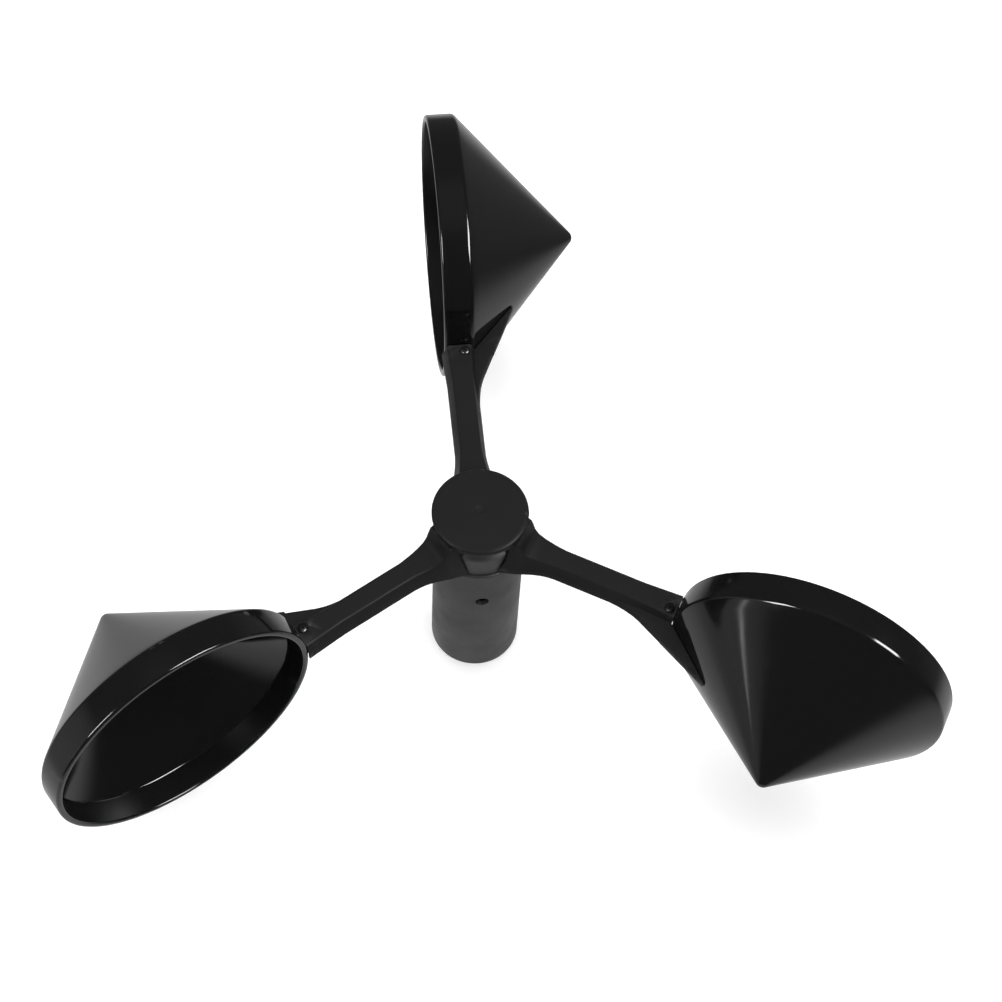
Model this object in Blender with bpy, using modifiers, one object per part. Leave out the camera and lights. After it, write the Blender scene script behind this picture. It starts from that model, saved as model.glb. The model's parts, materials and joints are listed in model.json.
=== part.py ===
"""Three-cup anemometer: a black rotor with conical cups turning on a grey sensor barrel.

The frame is metres, +Z up along the rotor axis, with the origin at the centre of the barrel's
flat lower end. Arm 1 points along +Y. Every cup opens towards the anticlockwise side, seen from
above, so the wind drives the rotor clockwise. The shaft runs in two ball bearings inside the
barrel and carries two magnets over a reed switch.
"""

import math

import bmesh
import bpy
from mathutils import Matrix, Vector

MM = 0.001

# Rotor: driving sizes.
ARM_COUNT = 3
CUP_RADIUS = 25.0 * MM  # outside of a cup's band
CUP_REACH = 63.2 * MM  # rotor axis to a cup's centre
CUP_Z = 37.3 * MM
CUP_WALL = 1.2 * MM
BAND_WIDTH = 5.35 * MM
CONE_DEPTH = 22.1 * MM  # band to the cone's sharp apex
APEX_ROUND = 1.5 * MM
RIM_ROUND = 0.35 * MM

# Spider: the hub and its three arms, each a drafted beam that flares into a leg at the hub.
LEG_BOTTOM = 36.1 * MM
ARM_BOTTOM = 37.1 * MM
ARM_TOP = 40.45 * MM
ARM_HALF_BOTTOM = 2.9 * MM  # half of the arm's width at its lower edges
ARM_HALF_TOP = 1.85 * MM
ARM_EDGE = 0.45 * MM  # bevel along the arm's top edges
ROOT_REACH = 6.3 * MM  # where the leg's sides meet the barrel
ROOT_FLARE_BOTTOM = 2.3 * MM  # added to each half width there
ROOT_FLARE_TOP = 1.5 * MM
FLARE_START = 16.0 * MM
TIP_FLARE = 0.4 * MM
TIP_FLARE_START = 31.0 * MM
ARM_TIP = 38.4 * MM
LEG_WALL = 0.55 * MM  # from the barrel's clearance to the leg's outer face
GUSSET_THICKNESS = 1.4 * MM
GUSSET_OUTLINE = ((0, 28.0), (2.7, 29.4), (11.9, 48.8), (8.0, 52.0), (0, 52.0))  # mm, arm 1
CUP_GAP = 0.15 * MM  # between a cup and the arm that holds it

# A tab on each cup sits in a fork at the arm's tip and is screwed down through it.
FORK_START = 34.6 * MM
TAB_SIDES = (-0.5 * MM, 2.1 * MM)
TAB_LOW = 38.1 * MM
TAB_HIGH = 39.3 * MM
FORK_GAP = 0.2 * MM
CUP_SCREW_REACH = 37.0 * MM
CUP_SCREW_SIDE = 1.0 * MM
CUP_SCREW_SEAT = 40.2 * MM
SCREW_HOLE_RADIUS = 0.5 * MM

# Screws: head radius, head height, shank radius and shank length.
CUP_SCREW = (0.8 * MM, 0.5 * MM, 0.4 * MM, 2.8 * MM)
HUB_SCREW = (1.9 * MM, 1.2 * MM, 0.7 * MM, 4.6 * MM)
BOARD_SCREW = (1.1 * MM, 0.7 * MM, 0.45 * MM, 3.4 * MM)

# Hub, cap and shaft.
HUB_TOP = 44.45 * MM
PLATE_RADIUS = 7.2 * MM
PLATE_BOTTOM = 42.4 * MM
BOSS_RADIUS = 4.4 * MM
BOSS_BOTTOM = 38.4 * MM
RECESS_RADIUS = 3.4 * MM
RECESS_FLOOR = 42.15 * MM
CAP_RADIUS = 8.6 * MM
CAP_BOTTOM = 44.55 * MM
CAP_TOP = 46.2 * MM
CAP_RING = (2.7 * MM, 3.25 * MM)  # inside and outside radius, under the cap
CAP_RING_DEPTH = 1.6 * MM
CAP_SAG = 0.4 * MM
SHAFT_RADIUS = 1.5 * MM
SHAFT_BOTTOM = 13.4 * MM
SHAFT_TOP = 42.05 * MM
CLIP_GROOVE_TOP = 15.1 * MM
CLIP_GROOVE_RADIUS = 1.1 * MM
CLIP_RADIUS = 2.7 * MM
CLIP_THICKNESS = 0.5 * MM
COLLAR_RADIUS = 2.3 * MM
COLLAR_HEIGHT = 0.75 * MM
SLIDE_GAP = 0.1 * MM  # between a bore and what sits in it

# Barrel, the fixed body.
BARREL_RADIUS = 8.2 * MM
NECK_RADIUS = 7.7 * MM
LEDGE_Z = 35.8 * MM
BARREL_EDGE = 0.3 * MM
BARREL_TOP = 42.0 * MM
MOUTH_RADIUS = 6.5 * MM
MOUTH_FLOOR = 38.0 * MM
CAVITY_RADIUS = 6.95 * MM
CAVITY_TOP = 19.4 * MM
NECK_CLEARANCE = 0.35 * MM

# Bearings, 3 x 10 x 4 mm.
BEARING_RADIUS = 5.0 * MM
BEARING_WIDTH = 4.0 * MM
LOWER_BEARING_Z = 20.3 * MM
UPPER_BEARING_Z = 33.3 * MM
PITCH_RADIUS = 3.25 * MM
BALL_RADIUS = 0.78 * MM
BALL_COUNT = 7

# Side hole with the grub screw that locks the bearings.
GRUB_Z = 26.3 * MM
GRUB_HOLE_RADIUS = 1.25 * MM

# Magnets, circuit board and base plug.
CARRIER_RADIUS = 5.8 * MM
CARRIER_BOTTOM = 15.2 * MM
CARRIER_DISC = 3.7 * MM  # thickness
CARRIER_HUB_RADIUS = 2.4 * MM
MAGNET_REACH = 3.9 * MM
MAGNET_RADIUS = 1.5 * MM
MAGNET_HEIGHT = 2.0 * MM
BOARD_RADIUS = 6.5 * MM
BOARD_Z = 8.0 * MM
BOARD_THICKNESS = 1.0 * MM
POST_REACH = 4.6 * MM
POST_RADIUS = 1.2 * MM
REED_Y = 3.2 * MM
REED_Z = 10.9 * MM
REED_HALF_LENGTH = 3.7 * MM
REED_RADIUS = 0.95 * MM
LEAD_REACH = 5.0 * MM
LEAD_RADIUS = 0.22 * MM
PIN_RADIUS = 0.32 * MM
PIN_SIDE = 1.27 * MM
PIN_Y = -4.0 * MM
PLUG_RADIUS = 6.85 * MM
PLUG_TOP = 4.2 * MM
SNAP_LOW = 3.3 * MM  # groove in the barrel for the plug's snap ridge
SNAP_HIGH = 3.8 * MM
SEAL_RADIUS = 6.52 * MM
SEAL_Z = 2.1 * MM
SEAL_GROOVE = (1.5 * MM, 2.7 * MM)  # its lower and upper side
SEAL_GROOVE_RADIUS = 6.1 * MM
SOCKET_LOW = (-2.7 * MM, -5.0 * MM, -1.0 * MM)  # corners of the pin socket's cutter
SOCKET_HIGH = (2.7 * MM, -3.0 * MM, 3.0 * MM)

# Facets round a full turn.
CUP_STEPS = 44
BODY_STEPS = 40
SMALL_STEPS = 24
TINY_STEPS = 12


def clear_scene():
    for leftover in list(bpy.data.objects):
        bpy.data.objects.remove(leftover)


def new_collection(name, hidden=False):
    collection = bpy.data.collections.new(name)
    bpy.context.scene.collection.children.link(collection)
    collection.hide_render = hidden
    return collection


def surface(name, colour, roughness, metallic=0.0):
    material = bpy.data.materials.new(name)
    material.use_nodes = True
    shader = material.node_tree.nodes["Principled BSDF"]
    shader.inputs["Base Color"].default_value = (*colour, 1.0)
    shader.inputs["Roughness"].default_value = roughness
    shader.inputs["Metallic"].default_value = metallic
    return material


clear_scene()
PARTS = new_collection("cup_anemometer")
CUTTERS = new_collection("cutters", hidden=True)

GLOSS_BLACK = surface("gloss_black", (0.012, 0.012, 0.012), 0.18)
SATIN_BLACK = surface("satin_black", (0.016, 0.016, 0.016), 0.38)
BARREL_GREY = surface("barrel_grey", (0.075, 0.075, 0.075), 0.42)
PLUG_GREY = surface("plug_grey", (0.045, 0.045, 0.045), 0.5)
STEEL = surface("stainless_steel", (0.55, 0.55, 0.56), 0.25, 1.0)
BLACK_STEEL = surface("black_steel", (0.03, 0.03, 0.03), 0.35, 1.0)
BEARING_STEEL = surface("bearing_steel", (0.6, 0.6, 0.6), 0.15, 1.0)
BRASS = surface("brass", (0.7, 0.5, 0.22), 0.3, 1.0)
NICKEL = surface("nickel", (0.65, 0.62, 0.58), 0.2, 1.0)
CARRIER_WHITE = surface("carrier_white", (0.75, 0.74, 0.7), 0.45)
BOARD_GREEN = surface("board_green", (0.02, 0.16, 0.06), 0.4)
GLASS = surface("reed_glass", (0.45, 0.6, 0.52), 0.05)
RUBBER = surface("rubber", (0.02, 0.02, 0.02), 0.7)


def add_object(name, mesh, material=None):
    """An object that is a part if it has a material, and a hidden cutter if it has none."""
    made = bpy.data.objects.new(name, mesh)
    if material:
        PARTS.objects.link(made)
        made.data.materials.append(material)
    else:
        CUTTERS.objects.link(made)
        made.hide_render = True
        made.display_type = "WIRE"
    return made


def applied(piece):
    """Turns a piece and its modifiers into a plain mesh, with any caps welded on."""
    bpy.context.view_layer.update()
    graph = bpy.context.evaluated_depsgraph_get()
    mesh = bpy.data.meshes.new_from_object(piece.evaluated_get(graph))
    matrix = piece.matrix_world.copy()
    name = piece.name
    in_parts = piece.name in PARTS.objects
    bpy.data.objects.remove(piece)
    made = bpy.data.objects.new(name, mesh)
    (PARTS if in_parts else CUTTERS).objects.link(made)
    made.matrix_world = matrix
    if not in_parts:
        made.hide_render = True
        made.display_type = "WIRE"
    body = bmesh.new()
    body.from_mesh(mesh)
    bmesh.ops.remove_doubles(body, verts=body.verts, dist=1e-6)
    body.to_mesh(mesh)
    body.free()
    return made


def shade(piece):
    """Smooth shading that keeps edges sharper than 40 degrees."""
    piece.data.shade_smooth()
    piece.data.set_sharp_from_angle(angle=math.radians(40))
    return piece


def turned(name, profile, steps, material=None, ring=False):
    """A profile of (radius, height) turned about Z. It runs down the outer side, top to bottom;
    a ring's profile closes on itself."""
    mesh = bpy.data.meshes.new(name)
    points = [(radius, 0.0, height) for radius, height in profile]
    edges = [(i, i + 1) for i in range(len(points) - 1)]
    if ring:
        edges.append((len(points) - 1, 0))
    mesh.from_pydata(points, edges, [])
    piece = add_object(name, mesh, material)
    screw = piece.modifiers.new("turn", "SCREW")
    screw.steps = steps
    screw.render_steps = steps
    screw.use_merge_vertices = True
    screw.merge_threshold = 1e-5
    return shade(applied(piece))


def rod(name, radius, low, high, steps, material=None):
    """An upright cylinder on the Z axis."""
    mesh = bpy.data.meshes.new(name)
    body = bmesh.new()
    bmesh.ops.create_cone(
        body, cap_ends=True, segments=steps, radius1=radius, radius2=radius, depth=high - low
    )
    bmesh.ops.translate(body, vec=(0, 0, (low + high) / 2), verts=body.verts)
    body.to_mesh(mesh)
    body.free()
    return shade(add_object(name, mesh, material))


def tube(name, outer, inner, low, high, steps, material=None):
    """An upright tube on the Z axis."""
    profile = [(inner, high), (outer, high), (outer, low), (inner, low)]
    return turned(name, profile, steps, material, ring=True)


def box(name, low, high, material=None):
    """A box between two corners."""
    mesh = bpy.data.meshes.new(name)
    body = bmesh.new()
    bmesh.ops.create_cube(body, size=1.0)
    size = Vector(high) - Vector(low)
    middle = (Vector(high) + Vector(low)) / 2
    bmesh.ops.scale(body, vec=size, verts=body.verts)
    bmesh.ops.translate(body, vec=middle, verts=body.verts)
    body.to_mesh(mesh)
    body.free()
    return add_object(name, mesh, material)


def outline_solid(name, points, low, high, material=None):
    """A flat outline in X and Y, thickened from low to high."""
    curve = bpy.data.curves.new(name, "CURVE")
    curve.dimensions = "2D"
    curve.fill_mode = "BOTH"
    curve.extrude = (high - low) / 2
    spline = curve.splines.new("POLY")
    spline.points.add(len(points) - 1)
    for point, (x, y) in zip(spline.points, points):
        point.co = (x, y, 0, 1)
    spline.use_cyclic_u = True
    piece = add_object(name, curve, material)
    piece.location.z = (high + low) / 2
    return applied(piece)


def wire(name, points, radius, material):
    """A round wire through the points."""
    curve = bpy.data.curves.new(name, "CURVE")
    curve.dimensions = "3D"
    curve.bevel_depth = radius
    curve.bevel_resolution = 2
    curve.use_fill_caps = True
    spline = curve.splines.new("POLY")
    spline.points.add(len(points) - 1)
    for point, place in zip(spline.points, points):
        point.co = (*place, 1)
    return shade(applied(add_object(name, curve, material)))


def boolean(piece, operation, *others):
    """Joins or cuts a piece with others, which are used up, and returns the result."""
    for number, other in enumerate(others):
        modifier = piece.modifiers.new(f"{operation.lower()}_{number}", "BOOLEAN")
        modifier.operation = operation
        modifier.object = other
        modifier.solver = "EXACT"
    result = applied(piece)
    for other in others:
        bpy.data.objects.remove(other)
    return result


def moved(piece, place=(0, 0, 0), axis=None):
    """Moves a piece's mesh, turning its Z axis to another axis first."""
    turn = Matrix.Identity(3)
    if axis:
        turn = Vector((0, 0, 1)).rotation_difference(Vector(axis)).to_matrix()
    piece.data.transform(Matrix.Translation(place) @ turn.to_4x4())
    return piece


def copy_round(piece, number, name):
    """A copy of a piece made for arm 1, turned to another arm."""
    made = bpy.data.objects.new(name, piece.data)
    piece.users_collection[0].objects.link(made)
    made.hide_render = piece.hide_render
    made.display_type = piece.display_type
    made.rotation_euler.z = number * math.tau / ARM_COUNT
    return made


def arc(centre, radius, start, end, count):
    """Points on an arc from one angle to another, in degrees."""
    angles = [math.radians(start + (end - start) * i / (count - 1)) for i in range(count)]
    return [(centre[0] + radius * math.cos(a), centre[1] + radius * math.sin(a)) for a in angles]


# --- Cups -----------------------------------------------------------------------------------

CONE_ANGLE = math.atan2(CUP_RADIUS, CONE_DEPTH)  # half of the cone's angle at its apex
BAND_FRONT = BAND_WIDTH / 2
BAND_BACK = -BAND_WIDTH / 2
APEX = BAND_BACK - CONE_DEPTH


def cup_outside(grow):
    """The cup's outer side, from the front of its band to its rounded apex, grown outwards."""
    ball = APEX_ROUND + grow
    centre = APEX + APEX_ROUND / math.sin(CONE_ANGLE)
    band = CUP_RADIUS + grow
    shoulder = BAND_BACK - grow * (1 - math.cos(CONE_ANGLE)) / math.sin(CONE_ANGLE)
    tip = arc((0, centre), ball, -math.degrees(CONE_ANGLE), -90, 4)
    tip[-1] = (0, centre - ball)
    return [(band, BAND_FRONT + grow - RIM_ROUND), (band, shoulder)] + tip


def place_at_cup(piece):
    """Turns a cup from its own axis to where arm 1 holds it, open towards -X."""
    return moved(piece, (0, CUP_REACH, CUP_Z), axis=(-1, 0, 0))


def make_cup():
    """A cone with a straight band round its mouth, and the tab that the arm's fork holds."""
    inner = CUP_RADIUS - CUP_WALL
    inner_apex = APEX + CUP_WALL / math.sin(CONE_ANGLE)
    inner_shoulder = inner_apex + inner / math.tan(CONE_ANGLE)
    inside = [
        (0, inner_apex),
        (inner, inner_shoulder),
        (inner, BAND_FRONT - RIM_ROUND),
        (inner + RIM_ROUND, BAND_FRONT),
        (CUP_RADIUS - RIM_ROUND, BAND_FRONT),
    ]
    cup = place_at_cup(turned("cup_1", inside + cup_outside(0), CUP_STEPS, GLOSS_BLACK))
    tab_low = (TAB_SIDES[0], FORK_START + FORK_GAP, TAB_LOW)
    tab_high = (TAB_SIDES[1], CUP_REACH - CUP_RADIUS + CUP_WALL / 2, TAB_HIGH)
    hole = rod("tab_hole", SCREW_HOLE_RADIUS, TAB_LOW - MM, TAB_HIGH + MM, TINY_STEPS)
    moved(hole, (CUP_SCREW_SIDE, CUP_SCREW_REACH, 0))
    cup = boolean(cup, "UNION", box("tab", tab_low, tab_high))
    return shade(boolean(cup, "DIFFERENCE", hole))


# --- Spider ---------------------------------------------------------------------------------


def half_widths(reach):
    """Half of the arm's width at its lower and upper edges, wider at the root and the tip."""
    share = max(0.0, FLARE_START - reach) / (FLARE_START - ROOT_REACH)
    tip = TIP_FLARE * max(0.0, reach - TIP_FLARE_START) / (ARM_TIP - TIP_FLARE_START)
    bottom = ARM_HALF_BOTTOM + ROOT_FLARE_BOTTOM * share**1.5
    return bottom + tip, ARM_HALF_TOP + ROOT_FLARE_TOP * share**1.2 + tip


def arm_section(reach, bottom, top):
    """A trapezium with bevelled top corners, standing across the arm."""
    bottom_half, top_half = half_widths(reach)
    draft = (bottom_half - top_half) / (top - bottom)
    outline = [
        (bottom_half, bottom),
        (top_half + draft * ARM_EDGE, top - ARM_EDGE),
        (top_half - 0.2 * ARM_EDGE, top - 0.3 * ARM_EDGE),
        (top_half - ARM_EDGE, top),
    ]
    outline += [(-x, z) for x, z in reversed(outline)]
    return [(x, reach, z) for x, z in outline]


def loft(name, sections):
    """A solid through sections with the same number of points each."""
    body = bmesh.new()
    loops = [[body.verts.new(point) for point in section] for section in sections]
    for first, second in zip(loops, loops[1:]):
        for i in range(len(first)):
            j = (i + 1) % len(first)
            body.faces.new((first[i], first[j], second[j], second[i]))
    body.faces.new(loops[0])
    body.faces.new(loops[-1])
    bmesh.ops.recalc_face_normals(body, faces=body.faces)
    mesh = bpy.data.meshes.new(name)
    body.to_mesh(mesh)
    body.free()
    return add_object(name, mesh, SATIN_BLACK)


def make_arm():
    """One arm for +Y: its leg beside the barrel's neck, its beam, gusset and forked tip."""
    leg = NECK_RADIUS + NECK_CLEARANCE + LEG_WALL
    stations = [
        (5.0 * MM, LEG_BOTTOM, HUB_TOP),
        (leg, LEG_BOTTOM, HUB_TOP),
        (leg + 0.5 * MM, LEG_BOTTOM, ARM_TOP + 2.9 * MM),
        (leg + 0.9 * MM, LEG_BOTTOM + 0.1 * MM, ARM_TOP + 1.6 * MM),
        (leg + 1.8 * MM, LEG_BOTTOM + 0.3 * MM, ARM_TOP + 0.6 * MM),
        (leg + 3.3 * MM, LEG_BOTTOM + 0.7 * MM, ARM_TOP + 0.15 * MM),
        (leg + 5.2 * MM, ARM_BOTTOM, ARM_TOP),
        (FLARE_START, ARM_BOTTOM, ARM_TOP),
        (TIP_FLARE_START, ARM_BOTTOM, ARM_TOP),
        (ARM_TIP, ARM_BOTTOM, ARM_TOP),
    ]
    arm = loft("arm", [arm_section(*station) for station in stations])
    gusset_outline = [(x * MM, y * MM) for x, y in GUSSET_OUTLINE]
    gusset_top = ARM_BOTTOM + GUSSET_THICKNESS
    gusset = outline_solid("gusset", gusset_outline, ARM_BOTTOM, gusset_top)
    arm = boolean(arm, "UNION", gusset)

    cup_space = [(0, BAND_FRONT + CUP_GAP)] + cup_outside(CUP_GAP)
    cup_space[1] = (CUP_RADIUS + CUP_GAP, BAND_FRONT + CUP_GAP)
    space = place_at_cup(turned("cup_space", cup_space, CUP_STEPS))
    fork_low = (TAB_SIDES[0] - FORK_GAP, FORK_START, TAB_LOW - FORK_GAP)
    fork_high = (TAB_SIDES[1] + FORK_GAP, ARM_TIP + MM, TAB_HIGH + FORK_GAP)
    fork = box("fork", fork_low, fork_high)
    seat_radius = CUP_SCREW[0] + 2 * SLIDE_GAP
    seat = rod("seat", seat_radius, CUP_SCREW_SEAT, ARM_TOP + MM, TINY_STEPS + 4)
    hole = rod("hole", SCREW_HOLE_RADIUS, ARM_BOTTOM + 0.3 * MM, ARM_TOP + MM, TINY_STEPS)
    for cutter in (seat, hole):
        moved(cutter, (CUP_SCREW_SIDE, CUP_SCREW_REACH, 0))
    neck = rod("neck", NECK_RADIUS + NECK_CLEARANCE, LEG_BOTTOM - MM, PLATE_BOTTOM, BODY_STEPS)
    return boolean(arm, "DIFFERENCE", space, fork, seat, hole, neck)


def make_spider():
    """The hub plate and boss with the three arms, one moulding."""
    bore = SHAFT_RADIUS + SLIDE_GAP
    profile = [
        (RECESS_RADIUS, HUB_TOP),
        (PLATE_RADIUS, HUB_TOP),
        (PLATE_RADIUS, PLATE_BOTTOM),
        (BOSS_RADIUS, PLATE_BOTTOM),
        (BOSS_RADIUS, BOSS_BOTTOM + 0.4 * MM),
        (BOSS_RADIUS - 0.4 * MM, BOSS_BOTTOM),
        (bore, BOSS_BOTTOM),
        (bore, RECESS_FLOOR),
        (RECESS_RADIUS, RECESS_FLOOR),
    ]
    spider = turned("rotor_spider", profile, BODY_STEPS, SATIN_BLACK, ring=True)
    arm = make_arm()
    arms = [copy_round(arm, number, f"arm_{number}") for number in range(ARM_COUNT)]
    spider = boolean(spider, "UNION", *arms)
    bpy.data.objects.remove(arm)
    return shade(spider)


# --- Cap, shaft and rotor fasteners ---------------------------------------------------------


def make_cap():
    """A low domed disc with a moulding dimple and a ring that grips the hub's recess."""
    ring_inner, ring_outer = CAP_RING
    dome_edge = CAP_RADIUS - 0.5 * MM
    shares = (0.09, 0.35, 0.6, 0.8, 1.0)
    dome = [(dome_edge * share, CAP_TOP - CAP_SAG * share**2) for share in shares]
    profile = [
        (0, CAP_TOP - 0.2 * MM),
        (0.45 * MM, CAP_TOP - 0.2 * MM),
        *dome,
        (CAP_RADIUS - 0.12 * MM, CAP_TOP - 0.65 * MM),
        (CAP_RADIUS, CAP_TOP - 0.9 * MM),
        (CAP_RADIUS, CAP_BOTTOM + 0.15 * MM),
        (CAP_RADIUS - 0.15 * MM, CAP_BOTTOM),
        (ring_outer, CAP_BOTTOM),
        (ring_outer, CAP_BOTTOM - CAP_RING_DEPTH),
        (ring_inner, CAP_BOTTOM - CAP_RING_DEPTH),
        (ring_inner, CAP_BOTTOM),
        (0, CAP_BOTTOM),
    ]
    return turned("hub_cap", profile, BODY_STEPS, SATIN_BLACK)


def make_shaft():
    """The shaft, with a collar on the upper bearing, a clip groove and a tapped top end."""
    collar = UPPER_BEARING_Z + BEARING_WIDTH + 0.05 * MM
    profile = [
        (0, SHAFT_TOP - 5.0 * MM),
        (0.8 * MM, SHAFT_TOP - 4.6 * MM),
        (0.8 * MM, SHAFT_TOP),
        (SHAFT_RADIUS - 0.2 * MM, SHAFT_TOP),
        (SHAFT_RADIUS, SHAFT_TOP - 0.2 * MM),
        (SHAFT_RADIUS, collar + COLLAR_HEIGHT),
        (COLLAR_RADIUS, collar + COLLAR_HEIGHT),
        (COLLAR_RADIUS, collar),
        (SHAFT_RADIUS, collar),
        (SHAFT_RADIUS, CLIP_GROOVE_TOP),
        (CLIP_GROOVE_RADIUS, CLIP_GROOVE_TOP),
        (CLIP_GROOVE_RADIUS, CLIP_GROOVE_TOP - 0.7 * MM),
        (SHAFT_RADIUS, CLIP_GROOVE_TOP - 0.7 * MM),
        (SHAFT_RADIUS, SHAFT_BOTTOM + 0.3 * MM),
        (SHAFT_RADIUS - 0.3 * MM, SHAFT_BOTTOM),
        (0, SHAFT_BOTTOM),
    ]
    return turned("shaft", profile, SMALL_STEPS, STEEL)


def make_shaft_clip():
    """A C-shaped clip in the shaft's groove, under the magnet carrier."""
    outer = arc((0, 0), CLIP_RADIUS, 35, 325, 17)
    inner = arc((0, 0), CLIP_GROOVE_RADIUS + SLIDE_GAP, 305, 55, 13)
    low = CLIP_GROOVE_TOP - 0.6 * MM
    return outline_solid("shaft_clip", outer + inner, low, low + CLIP_THICKNESS, STEEL)


def pan_screw(name, seat, sizes):
    """A screw with a domed head on its seat, a hexagonal socket and a plain shank."""
    head_radius, head_height, shank_radius, shank_length = sizes
    top = seat + head_height
    profile = [
        (0, top),
        (0.55 * head_radius, top),
        (0.85 * head_radius, top - 0.22 * head_height),
        (head_radius, seat + 0.35 * head_height),
        (head_radius, seat),
        (shank_radius, seat),
        (shank_radius, seat - shank_length + shank_radius / 2),
        (shank_radius / 2, seat - shank_length),
        (0, seat - shank_length),
    ]
    screw = turned(name, profile, TINY_STEPS, STEEL)
    socket = rod("socket", 0.42 * head_radius, top - 0.5 * head_height, top + MM, 6)
    return shade(boolean(screw, "DIFFERENCE", socket))


def make_hub_fastening():
    """The screw and washer in the hub's recess, which hold the rotor on the shaft."""
    low = RECESS_FLOOR + 0.05 * MM
    high = low + 0.4 * MM
    tube("hub_washer", 2.4 * MM, 1.0 * MM, low, high, SMALL_STEPS, STEEL)
    pan_screw("hub_screw", high + SLIDE_GAP, HUB_SCREW)


def make_cup_screws():
    """A small screw down through each arm's fork and the cup's tab."""
    screw = pan_screw("cup_screw", CUP_SCREW_SEAT + 0.02 * MM, CUP_SCREW)
    moved(screw, (CUP_SCREW_SIDE, CUP_SCREW_REACH, 0))
    for number in range(ARM_COUNT):
        copy_round(screw, number, f"cup_screw_{number + 1}")
    bpy.data.objects.remove(screw)


# --- Bearings and spacers -------------------------------------------------------------------


def make_bearing(name, low):
    """A deep-groove bearing: inner and outer rings, caged balls and one shield."""
    high = low + BEARING_WIDTH
    middle = (low + high) / 2
    bore = SHAFT_RADIUS + 0.05 * MM
    inner_land = 2.6 * MM
    outer_land = 4.0 * MM
    shield_seat = 4.3 * MM
    shield_z = high - 0.35 * MM if name == "upper" else low + 0.15 * MM
    groove = BALL_RADIUS + 0.06 * MM
    half_groove = 0.55 * MM
    inner_groove = PITCH_RADIUS - groove
    outer_groove = PITCH_RADIUS + groove
    inner_ring = [
        (bore, high),
        (inner_land, high),
        (inner_land, middle + half_groove),
        (inner_groove, middle),
        (inner_land, middle - half_groove),
        (inner_land, low),
        (bore, low),
    ]
    turned(f"{name}_bearing_inner", inner_ring, SMALL_STEPS, BEARING_STEEL, ring=True)
    outer_ring = [
        (shield_seat, high),
        (BEARING_RADIUS, high),
        (BEARING_RADIUS, low),
        (shield_seat, low),
        (shield_seat, low + 0.5 * MM),
        (outer_land, low + 0.5 * MM),
        (outer_land, middle - half_groove),
        (outer_groove, middle),
        (outer_land, middle + half_groove),
        (outer_land, high - 0.5 * MM),
        (shield_seat, high - 0.5 * MM),
    ]
    turned(f"{name}_bearing_outer", outer_ring, SMALL_STEPS, BEARING_STEEL, ring=True)
    shield_top = shield_z + 0.2 * MM
    tube(f"{name}_bearing_shield", 4.2 * MM, 2.75 * MM, shield_z, shield_top, SMALL_STEPS, STEEL)
    make_ball_cage(f"{name}_ball_cage", middle)


def make_ball_cage(name, middle):
    """The balls in their cage, which goes round as one."""
    low, high = middle - 0.35 * MM, middle + 0.35 * MM
    cage = tube(name, PITCH_RADIUS + 0.2 * MM, PITCH_RADIUS - 0.2 * MM, low, high, 28, BRASS)
    balls = []
    for number in range(BALL_COUNT):
        mesh = bpy.data.meshes.new("ball")
        body = bmesh.new()
        bmesh.ops.create_uvsphere(body, u_segments=8, v_segments=5, radius=BALL_RADIUS)
        body.to_mesh(mesh)
        body.free()
        angle = number * math.tau / BALL_COUNT
        place = (PITCH_RADIUS * math.cos(angle), PITCH_RADIUS * math.sin(angle), middle)
        balls.append(moved(add_object(f"ball_{number}", mesh), place))
    return shade(boolean(cage, "UNION", *balls))


def make_spacers():
    """Sleeves between the two bearings' inner rings and between their outer rings."""
    low = LOWER_BEARING_Z + BEARING_WIDTH + SLIDE_GAP
    high = UPPER_BEARING_Z - SLIDE_GAP
    bore = SHAFT_RADIUS + SLIDE_GAP
    tube("inner_spacer", 2.3 * MM, bore, low, high, SMALL_STEPS, STEEL)
    tube("outer_spacer", BEARING_RADIUS, 4.2 * MM, low, high, SMALL_STEPS, BRASS)


# --- Magnets --------------------------------------------------------------------------------


def make_magnet_carrier():
    """A disc on the shaft's lower end, with two magnets set into its underside."""
    bore = SHAFT_RADIUS + SLIDE_GAP
    disc_top = CARRIER_BOTTOM + CARRIER_DISC
    hub_top = LOWER_BEARING_Z - SLIDE_GAP
    profile = [
        (bore, hub_top),
        (CARRIER_HUB_RADIUS, hub_top),
        (CARRIER_HUB_RADIUS, disc_top),
        (CARRIER_RADIUS, disc_top),
        (CARRIER_RADIUS, CARRIER_BOTTOM),
        (bore, CARRIER_BOTTOM),
    ]
    carrier = turned("magnet_carrier", profile, SMALL_STEPS, CARRIER_WHITE, ring=True)
    pockets = []
    for number, side in enumerate((-1, 1)):
        pocket_top = CARRIER_BOTTOM + MAGNET_HEIGHT + 2 * SLIDE_GAP
        radius = MAGNET_RADIUS + SLIDE_GAP
        pocket = rod(f"pocket_{number}", radius, CARRIER_BOTTOM - MM, pocket_top, 16)
        pockets.append(moved(pocket, (side * MAGNET_REACH, 0, 0)))
        low = CARRIER_BOTTOM + SLIDE_GAP
        magnet = rod(f"magnet_{number + 1}", MAGNET_RADIUS, low, low + MAGNET_HEIGHT, 16, NICKEL)
        moved(magnet, (side * MAGNET_REACH, 0, 0))
    return shade(boolean(carrier, "DIFFERENCE", *pockets))


# --- Barrel and its grub screw --------------------------------------------------------------


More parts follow.
